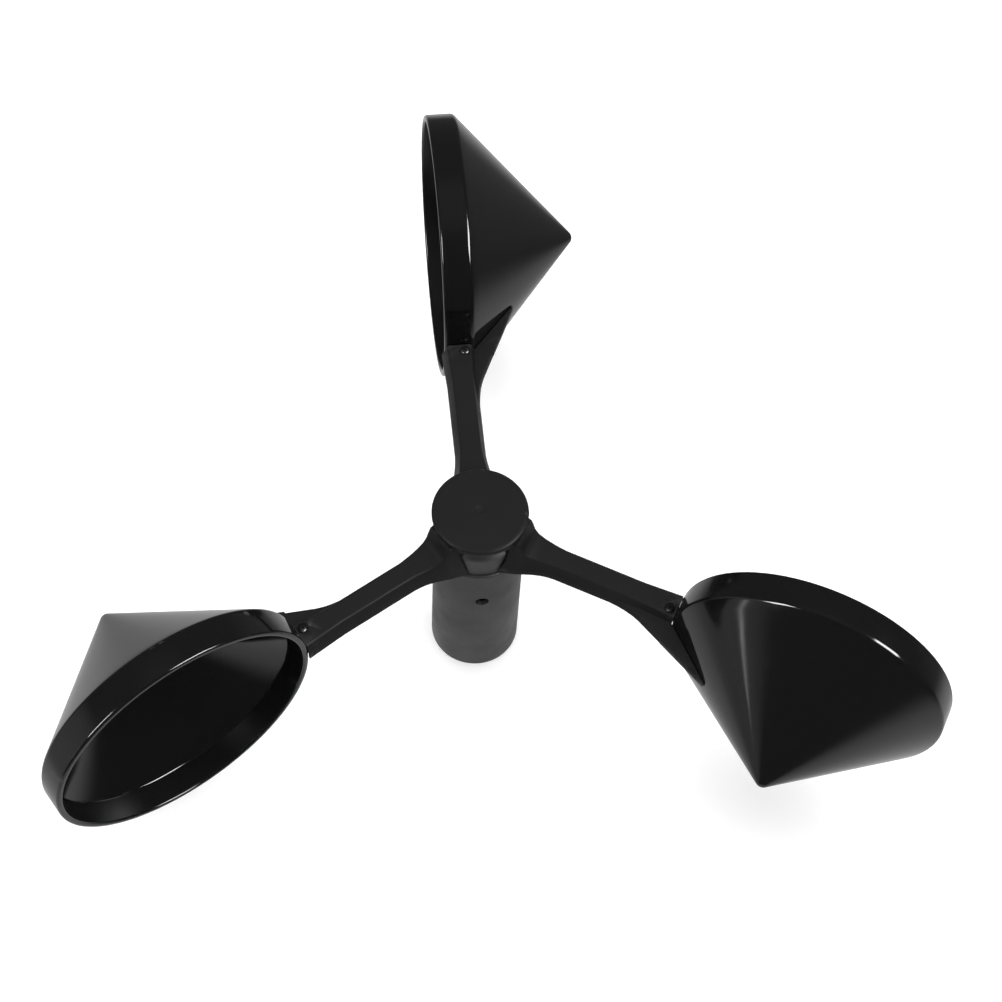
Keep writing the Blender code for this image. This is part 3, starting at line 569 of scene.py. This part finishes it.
def make_cups():
    """Cups with rounded rims, a softened shoulder inside and out, and the tab in the arm."""
    inner = CUP_RADIUS - CUP_WALL
    inner_apex = APEX + CUP_WALL / math.sin(CONE_ANGLE)
    inner_shoulder = inner_apex + inner / math.tan(CONE_ANGLE)
    shoulder, tip = cup_profile()
    inner_tip = (0.55 * MM, inner_apex + 0.5 * MM)
    corners = [
        (0, inner_apex + 0.2 * MM, 0),
        (*inner_tip, 0.4 * MM),
        *steps_between(inner_tip, (inner, inner_shoulder)),
        (inner, inner_shoulder, 0.6 * MM),
        (inner, BAND_FRONT, 0.42 * MM),
        (CUP_RADIUS, BAND_FRONT, 0.5 * MM),
        (CUP_RADIUS, shoulder, 1.1 * MM),
        *steps_between((CUP_RADIUS, shoulder), tip[0]),
        (*tip[0], 0),
    ]
    cup = turned("cup", rounded(corners) + tip[1:], CUP_BLACK)
    place_at_cup(cup)
    low = (TAB_SIDES[0], FORK_START + FORK_GAP, TAB_LOW)
    high = (TAB_SIDES[1], CUP_REACH - CUP_RADIUS + CUP_WALL / 2, TAB_HIGH)
    cup = boolean(cup, "UNION", box("tab", low, high, 0.15 * MM))
    line_cup(cup)
    for number, made in enumerate(round_copies(smooth(cup), lambda n: f"cup_{n}_gloss"), 1):
        stand_for(made, ROTOR, "gloss_black", f"cup_{number}")


# --- Spider ------------------------------------------------------------------------------------


def half_widths(reach):
    share = max(0.0, FLARE_START - reach) / (FLARE_START - ROOT_REACH)
    tip = TIP_FLARE * max(0.0, reach - TIP_FLARE_START) / (ARM_TIP - TIP_FLARE_START)
    bottom = ARM_HALF_BOTTOM + ROOT_FLARE_BOTTOM * share**1.5
    return bottom + tip, ARM_HALF_TOP + ROOT_FLARE_TOP * share**1.2 + tip


def gusset_width(reach):
    """How far the gusset reaches out beside the arm's side, growing in a smooth curve."""
    start, straight = GUSSET_CURVE
    if reach <= start:
        return 0.0
    if reach < straight:
        return gusset_width(straight) * ((reach - start) / (straight - start)) ** 2
    inner_reach, inner_side = GUSSET_INNER
    outer_reach, outer_side = GUSSET_OUTER
    slope = (outer_side - inner_side) / (outer_reach - inner_reach)
    return inner_side + slope * (reach - inner_reach) - half_widths(reach)[0]


def arm_section(reach, bottom, top, extra):
    """The arm's rounded section, with the gusset's web standing out on its +X side."""
    bottom_half, top_half = half_widths(reach)
    draft = (bottom_half - top_half) / (top - bottom)
    web = max(extra, STEP)
    web_top = bottom + GUSSET_TOP - ARM_BOTTOM
    wall = bottom_half - draft * (web_top - bottom)
    edge = min(0.6 * MM, 0.6 * top_half)
    corners = [
        (-bottom_half, bottom, 0.15 * MM),
        (-top_half, top, edge),
        (top_half, top, edge),
        (wall, web_top, min(0.5 * MM, 0.5 * web)),
        (wall + web, web_top, min(0.2 * MM, 0.3 * web)),
        (bottom_half + web, bottom, 0.15 * MM),
    ]
    return [(x, reach, z) for x, z in rounded(corners, 5)]


def leg_levels(reach):
    """The arm's lower and upper surface at the root, where it rises into a leg."""
    out = reach - LEG_REACH
    leg_top = HUB_TOP - STEP
    if out <= 0:
        return LEG_BOTTOM, leg_top
    levels = [
        (0.0, LEG_BOTTOM, leg_top),
        (0.5 * MM, LEG_BOTTOM, ARM_TOP + 2.9 * MM),
        (0.9 * MM, LEG_BOTTOM + 0.1 * MM, ARM_TOP + 1.6 * MM),
        (1.8 * MM, LEG_BOTTOM + 0.3 * MM, ARM_TOP + 0.6 * MM),
        (3.3 * MM, LEG_BOTTOM + 0.7 * MM, ARM_TOP + 0.15 * MM),
        (5.2 * MM, ARM_BOTTOM, ARM_TOP),
    ]
    for (start, low, high), (end, next_low, next_high) in zip(levels, levels[1:]):
        if out <= end:
            share = (out - start) / (end - start)
            return low + (next_low - low) * share, high + (next_high - high) * share
    return ARM_BOTTOM, ARM_TOP


def web_sections():
    """The gusset from the arm's tip outwards: a flat plate with softened edges."""
    reaches = (WEB_START, 41.0 * MM, 44.0 * MM, 47.0 * MM)
    outline = [(half_widths(reach)[0] + gusset_width(reach), reach) for reach in reaches]
    outline += [(11.3 * MM, 49.3 * MM), (8.0 * MM, GUSSET_END)]
    outline += [(-0.5 * MM, GUSSET_END), (-0.5 * MM, WEB_START)]
    levels = [
        (ARM_BOTTOM, 0.15),
        (ARM_BOTTOM + 0.04 * MM, 0.06),
        (ARM_BOTTOM + 0.15 * MM, 0.0),
        (GUSSET_TOP - 0.2 * MM, 0.0),
        (GUSSET_TOP - 0.06 * MM, 0.06),
        (GUSSET_TOP, 0.2),
    ]
    return [
        [(x - inset * MM if x > 0 else x, y, z) for x, y in outline] for z, inset in levels
    ]


def make_arm():
    reaches = [4.0 * MM, LEG_REACH - 0.3 * MM, LEG_REACH]
    reaches += [LEG_REACH + out * MM for out in (0.25, 0.5, 0.7, 0.9, 1.3, 1.8, 2.5, 3.3, 4.2, 5.2)]
    reaches += [15.0 * MM, 16.0 * MM, 20.0 * MM, 25.5 * MM]
    reaches += [26.0 * MM + step * 0.5 * MM for step in range(14)]
    reaches += [34.0 * MM, 36.0 * MM, ARM_TIP]
    arm = loft("arm", [arm_section(r, *leg_levels(r), gusset_width(r)) for r in reaches])
    web = loft("web", web_sections())
    arm = boolean(arm, "UNION", web)
    shoulder, tip = cup_profile(CUP_GAP)
    front = BAND_FRONT + CUP_GAP
    outline = [(0, front), (CUP_RADIUS + CUP_GAP, front), (CUP_RADIUS + CUP_GAP, shoulder)]
    space = place_at_cup(turned("cup_space", outline + tip))
    low = (TAB_SIDES[0] - FORK_GAP, FORK_START, TAB_LOW - FORK_GAP)
    high = (TAB_SIDES[1] + FORK_GAP, ARM_TIP + MM, TAB_HIGH + FORK_GAP)
    seat_radius = CUP_SCREW_HEAD + 0.2 * MM
    seat = turned(
        "seat",
        [
            (0, ARM_TOP + MM),
            (seat_radius + 1.1 * MM, ARM_TOP + MM),
            (seat_radius, ARM_TOP - 0.08 * MM),
            (seat_radius, CUP_SCREW_SEAT),
            (0, CUP_SCREW_SEAT),
        ],
        steps=SMALL_STEPS,
    )
    neck = rod("neck", NECK_BORE, LEG_BOTTOM - MM, PLATE_BOTTOM + STEP, ROUND_STEPS)
    cutters = [space, box("fork", low, high), moved(seat, (*CUP_SCREW_PLACE, 0)), neck]
    return boolean(arm, "DIFFERENCE", *cutters)


def make_spider():
    arms = round_copies(make_arm(), lambda n: f"arm_{n}")
    profile = [
        (HUB_WELL, HUB_TOP),
        (HUB_RADIUS, HUB_TOP),
        (HUB_RADIUS, PLATE_BOTTOM),
        (BOSS_RADIUS, PLATE_BOTTOM),
        (BOSS_RADIUS, BOSS_BOTTOM + 0.4 * MM),
        (BOSS_RADIUS - 0.4 * MM, BOSS_BOTTOM),
        (SHAFT_BORE, BOSS_BOTTOM),
        (SHAFT_BORE, HUB_WELL_FLOOR),
        (HUB_WELL, HUB_WELL_FLOOR),
    ]
    spider = turned("rotor_spider_fine", profile, ARM_BLACK, ring=True)
    spider = boolean(spider, "UNION", *arms)
    stand_for(smooth(spider, 28), ROTOR, "satin_black", "rotor_spider")


# --- Cap and screws ------------------------------------------------------------------------------


def make_cap():
    """A slightly domed cap with a dimple on top and a locating ring below."""
    ring_outer, ring_inner = 3.25 * MM, 2.7 * MM
    ring_bottom = CAP_BOTTOM - 1.6 * MM
    sag = 0.4 * MM
    edge = CAP_RADIUS - 0.5 * MM
    shares = [0.16 + 0.84 * i / 16 for i in range(17)]
    dome = [(edge * share, CAP_TOP - sag * share**2) for share in shares]
    corners = [
        (CAP_RADIUS, CAP_TOP - 0.75 * MM, 0.4 * MM),
        (CAP_RADIUS, CAP_BOTTOM, 0.14 * MM),
        (ring_outer, CAP_BOTTOM, 0),
        (ring_outer, ring_bottom, 0.1 * MM),
        (ring_inner, ring_bottom, 0.1 * MM),
        (ring_inner, CAP_BOTTOM, 0),
        (0, CAP_BOTTOM, 0),
    ]
    under = rounded([(*dome[-1], 0)] + corners)[1:]
    dimple = [
        (0, CAP_TOP - 0.3 * MM),
        (0.3 * MM, CAP_TOP - 0.29 * MM),
        (0.55 * MM, CAP_TOP - 0.22 * MM),
        (0.8 * MM, CAP_TOP - 0.1 * MM),
        (1.0 * MM, CAP_TOP - 0.02 * MM),
        (1.12 * MM, CAP_TOP - 0.008 * MM),
    ]
    cap = turned("hub_cap_fine", dimple + dome + under, ARM_BLACK)
    stand_for(smooth(cap, 38), ROTOR, "satin_black", "hub_cap")


def socket_screw(name, head_radius, head_height, shank_radius, shank_length):
    """A domed screw standing on z = 0, with a hexagonal socket."""
    dome = []
    for i in range(9):
        angle = math.pi / 2 * (1 - i / 8)
        dome.append(
            (head_radius * math.cos(angle), head_height * (0.25 + 0.75 * math.sin(angle)))
        )
    dome[0] = (0, head_height)
    profile = dome + [
        (head_radius, 0.03 * MM),
        (head_radius - 0.03 * MM, 0),
        (shank_radius, 0),
        (shank_radius, -shank_length + shank_radius / 2),
        (shank_radius / 2, -shank_length),
        (0, -shank_length),
    ]
    screw = turned(name, profile, SCREW_STEEL, steps=64)
    socket = rod("socket", 0.36 * head_radius, 0.35 * head_height, head_height + MM, steps=6)
    return smooth(boolean(screw, "DIFFERENCE", socket), 35)


def make_cup_screws():
    screw = socket_screw("cup_screw", CUP_SCREW_HEAD, 0.5 * MM, 0.4 * MM, 2.8 * MM)
    moved(screw, (*CUP_SCREW_PLACE, CUP_SCREW_SEAT + 0.02 * MM))
    for number, made in enumerate(round_copies(screw, lambda n: f"cup_screw_{n}_fine"), 1):
        stand_for(made, ROTOR, "stainless_steel", f"cup_screw_{number}")


# --- Barrel --------------------------------------------------------------------------------------


def make_barrel():
    """The barrel, with a chamfered neck, a ledge under the rotor and a countersunk side hole."""
    groove = BARREL_TOP - 1.1 * MM
    ledge_low, ledge_high = BEARING_LEDGE
    corners = [
        (BARREL_MOUTH, BARREL_TOP, 0.1 * MM),
        (NECK_RADIUS - 0.75 * MM, BARREL_TOP, 0.12 * MM),
        (NECK_RADIUS, BARREL_TOP - 0.75 * MM, 0.12 * MM),
        (NECK_RADIUS, groove + 0.14 * MM, 0),
        (NECK_RADIUS - 0.12 * MM, groove, 0),
        (NECK_RADIUS, groove - 0.14 * MM, 0),
        (NECK_RADIUS, LEDGE_Z, 0),
        (BARREL_RADIUS, LEDGE_Z, 0.35 * MM),
        (BARREL_RADIUS, BARREL_BOTTOM, 0.3 * MM),
        (CAVITY_RADIUS, BARREL_BOTTOM, 0.08 * MM),
        (CAVITY_RADIUS, SNAP_LOW - 0.3 * MM, 0),
        (CAVITY_RADIUS + SNAP_RISE, SNAP_LOW, 0),
        (CAVITY_RADIUS + SNAP_RISE, SNAP_HIGH, 0),
        (CAVITY_RADIUS, SNAP_HIGH + 0.3 * MM, 0),
        (CAVITY_RADIUS, ledge_low, 0),
        (BEARING_BORE - 0.7 * MM, ledge_low, 0),
        (BEARING_BORE - 0.7 * MM, ledge_high, 0),
        (BEARING_BORE, ledge_high, 0),
        (BEARING_BORE, BARREL_MOUTH_FLOOR, 0),
        (BARREL_MOUTH, BARREL_MOUTH_FLOOR, 0),
    ]
    barrel = turned("barrel_fine", rounded(corners, 8), BARREL, ring=True)
    hole = turned(
        "hole",
        [
            (0, BARREL_RADIUS + MM),
            (SIDE_HOLE_RADIUS + 1.06 * MM, BARREL_RADIUS + MM),
            (SIDE_HOLE_RADIUS, BARREL_RADIUS - 0.06 * MM),
            (SIDE_HOLE_RADIUS, BEARING_BORE - 0.4 * MM),
            (0, BEARING_BORE - 0.4 * MM),
        ],
        steps=64,
    )
    moved(hole, (0, 0, GRUB_Z), axis=(0, -1, 0))
    stand_for(smooth(boolean(barrel, "DIFFERENCE", hole)), SENSOR, "barrel_grey", "barrel")


def make_grub_screw():
    """A socket set screw below the barrel's surface."""
    end = BARREL_RADIUS - 0.6 * MM
    corners = [
        (0, end, 0),
        (GRUB_RADIUS, end, 0.12 * MM),
        (GRUB_RADIUS, BEARING_BORE, 0.25 * MM),
        (0, BEARING_BORE, 0),
    ]
    screw = turned("grub_screw_fine", rounded(corners), BLACK_STEEL, steps=64)
    socket = rod("socket", 0.7 * MM, end - 1.2 * MM, end + MM, steps=6)
    screw = moved(boolean(screw, "DIFFERENCE", socket), (0, 0, GRUB_Z), axis=(0, -1, 0))
    stand_for(smooth(screw), SENSOR, "black_steel", "grub_screw")


def socket_outline(grow, z):
    """The pin socket's rounded outline at one height, larger by grow on each side."""
    wide, deep = (half + grow for half in SOCKET_HALF)
    signs = [(-1, -1), (1, -1), (1, 1), (-1, 1)]
    outline = [(x * wide, PIN_Y + y * deep, 0.35 * MM + grow) for x, y in signs]
    return [(x, y, z) for x, y in rounded(outline)]


def make_base_plug():
    """The plug in the barrel's foot, with a softened rim and a chamfered pin socket."""
    corners = [
        (0, PLUG_TOP, 0),
        (PLUG_RADIUS, PLUG_TOP, 0.35 * MM),
        (PLUG_RADIUS + SNAP_RISE, SNAP_HIGH - 0.1 * MM, 0.05 * MM),
        (PLUG_RADIUS + SNAP_RISE, SNAP_LOW + 0.1 * MM, 0.05 * MM),
        (PLUG_RADIUS, SNAP_LOW - 0.1 * MM, 0),
        (PLUG_RADIUS, SEAL_Z + SEAL_HALF, 0.06 * MM),
        (SEAL_GROOVE, SEAL_Z + SEAL_HALF, 0.15 * MM),
        (SEAL_GROOVE, SEAL_Z - SEAL_HALF, 0.15 * MM),
        (PLUG_RADIUS, SEAL_Z - SEAL_HALF, 0.06 * MM),
        (PLUG_RADIUS, 0, 0.3 * MM),
        (0, 0, 0),
    ]
    plug = turned("base_plug_fine", rounded(corners), PLUG)
    posts, holes = [], []
    for side in (-1, 1):
        post = turned(
            "post",
            [
                (0, POST_TOP),
                (POST_RADIUS - 0.15 * MM, POST_TOP),
                (POST_RADIUS, POST_TOP - 0.15 * MM),
                (POST_RADIUS, PLUG_TOP - MM),
                (0, PLUG_TOP - MM),
            ],
            steps=SMALL_STEPS,
        )
        posts.append(moved(post, (side * POST_REACH, 0, 0)))
        pilot = rod("pilot", 0.55 * MM, PLUG_TOP + 0.6 * MM, POST_TOP + MM)
        holes.append(moved(pilot, (side * POST_REACH, 0, 0)))
        pin_hole = rod("pin_hole", 0.42 * MM, 2.0 * MM, PLUG_TOP + MM)
        holes.append(moved(pin_hole, (side * PIN_SIDE, PIN_Y, 0)))
    levels = [(0.3, -0.05), (0.0, 0.25), (0.0, 3.0)]
    holes.append(loft("socket", [socket_outline(grow * MM, z * MM) for grow, z in levels]))
    plug = boolean(boolean(plug, "UNION", *posts), "DIFFERENCE", *holes)
    stand_for(smooth(plug), SENSOR, "plug_grey", "base_plug")


# --- Stage ---------------------------------------------------------------------------------------


FLOOR_REACH = 4.0
FLOOR_STEPS = 96
SWEEP_STEPS = 8
ROOM_GLOW = 0.08


def pale(name, near, far):
    """A matte white that glows faintly, from one strength near the object to another far off."""
    s = Shader(name, (0.88, 0.88, 0.88), 0.8)
    s.vary_colour(s.noise(6, 3.0), (0.86, 0.86, 0.86))
    distance = s.nodes.new("ShaderNodeVectorMath")
    distance.operation = "LENGTH"
    s.links.new(s.place, distance.inputs[0])
    s.shader.inputs["Emission Color"].default_value = (1, 1, 1, 1)
    glow = s.remap(distance.outputs["Value"], 0.6, 3.0, near, far)
    s.links.new(glow, s.shader.inputs["Emission Strength"])
    return s.material


def make_floor():
    """A pale floor that the gloss doesn't mirror, and a backdrop that only the camera sees."""
    disc = [(0, 0), (1.0, 0), (FLOOR_REACH, 0)]
    floor = turned("floor", disc, pale("floor_pale", 0.25, 0.9), FLOOR_STEPS)
    floor.visible_glossy = False
    angles = [math.pi / 2 * i / SWEEP_STEPS for i in range(SWEEP_STEPS + 1)]
    sweep = [(FLOOR_REACH - 1 + math.sin(a), 1 - math.cos(a) + MM) for a in angles]
    sweep += [(FLOOR_REACH, FLOOR_REACH), (0, FLOOR_REACH)]
    backdrop = turned("backdrop", sweep, pale("backdrop_pale", 0.95, 0.95), FLOOR_STEPS)
    backdrop.visible_glossy = backdrop.visible_diffuse = backdrop.visible_shadow = False


def direction(azimuth, elevation):
    """A unit vector, with azimuth from +Y towards +X, in degrees."""
    a, e = math.radians(azimuth), math.radians(elevation)
    return Vector((math.sin(a) * math.cos(e), math.cos(a) * math.cos(e), math.sin(e)))


def softbox(name, azimuth, elevation, distance, width, height, power, gloss):
    """A rectangular light facing the object: for the gloss alone, or for everything but it."""
    data = bpy.data.lights.new(name, "AREA")
    data.energy = power
    data.shape = "RECTANGLE"
    data.size = width
    data.size_y = height
    light = bpy.data.objects.new(name, data)
    bpy.context.scene.collection.objects.link(light)
    away = direction(azimuth, elevation)
    light.location = Vector((0, 0, 0.04)) + away * distance
    light.rotation_euler = (-away).to_track_quat("-Z", "Y").to_euler()
    light.visible_glossy = gloss
    light.visible_diffuse = not gloss


def make_world():
    """A dim room, brighter below, at the sides and overhead."""
    world = bpy.data.worlds.new("studio")
    bpy.context.scene.world = world
    world.use_nodes = True
    nodes, links = world.node_tree.nodes, world.node_tree.links
    place = nodes.new("ShaderNodeTexCoord").outputs["Generated"]
    total = None
    glows = [
        ((0, -90), 0.28, 0.62, 0.5),
        ((-95, 0), 0.86, 0.985, 0.38),
        ((60, -10), 0.75, 1.0, 0.12),
        ((0, 90), 0.85, 1.0, 0.1),
    ]
    for (azimuth, elevation), low, high, strength in glows:
        dot = nodes.new("ShaderNodeVectorMath")
        dot.operation = "DOT_PRODUCT"
        links.new(place, dot.inputs[0])
        dot.inputs[1].default_value = direction(azimuth, elevation)
        glow = nodes.new("ShaderNodeMapRange")
        glow.interpolation_type = "SMOOTHSTEP"
        glow.inputs["From Min"].default_value = low
        glow.inputs["From Max"].default_value = high
        glow.inputs["To Max"].default_value = strength
        links.new(dot.outputs["Value"], glow.inputs["Value"])
        add = nodes.new("ShaderNodeMath")
        add.inputs[0].default_value = ROOM_GLOW
        if total:
            links.new(total, add.inputs[0])
        links.new(glow.outputs["Result"], add.inputs[1])
        total = add.outputs["Value"]
    links.new(total, nodes["Background"].inputs["Strength"])
    nodes["Background"].inputs["Color"].default_value = (1, 1, 1, 1)


def make_light():
    """An overhead for the matte side of things, and three boxes that show only in the gloss."""
    softbox("overhead", 20, 84, 1.2, 2.4, 2.4, 48.0, gloss=False)
    softbox("box_left", -115, 31, 2.0, 0.38, 0.9, 25.0, gloss=True)
    softbox("strip_left", -108, 1, 2.0, 0.045, 0.5, 0.28, gloss=True)
    softbox("box_right", 119, 40, 2.0, 1.15, 0.75, 62.0, gloss=True)


def make_camera():
    """The camera's own place, aim and tilt."""
    place = Vector((-28.68, -194.23, 398.44)) * MM
    aim = Vector((3.77, 1.33, 46.2)) * MM
    tilt = math.radians(3.94)
    data = bpy.data.cameras.new("camera")
    data.sensor_width = 36.0
    data.lens = 82.5
    data.clip_start = 0.01
    camera = bpy.data.objects.new("camera", data)
    bpy.context.scene.collection.objects.link(camera)
    camera.location = place
    turn = (aim - place).to_track_quat("-Z", "Y").to_matrix() @ Matrix.Rotation(tilt, 3, "Z")
    camera.rotation_euler = turn.to_euler()
    bpy.context.scene.camera = camera


dress_cad_nodes()
make_cups()
make_spider()
make_cap()
make_cup_screws()
make_barrel()
make_grub_screw()
make_base_plug()
make_floor()
make_world()
make_light()
make_camera()
bpy.context.scene.view_settings.view_transform = "Standard"
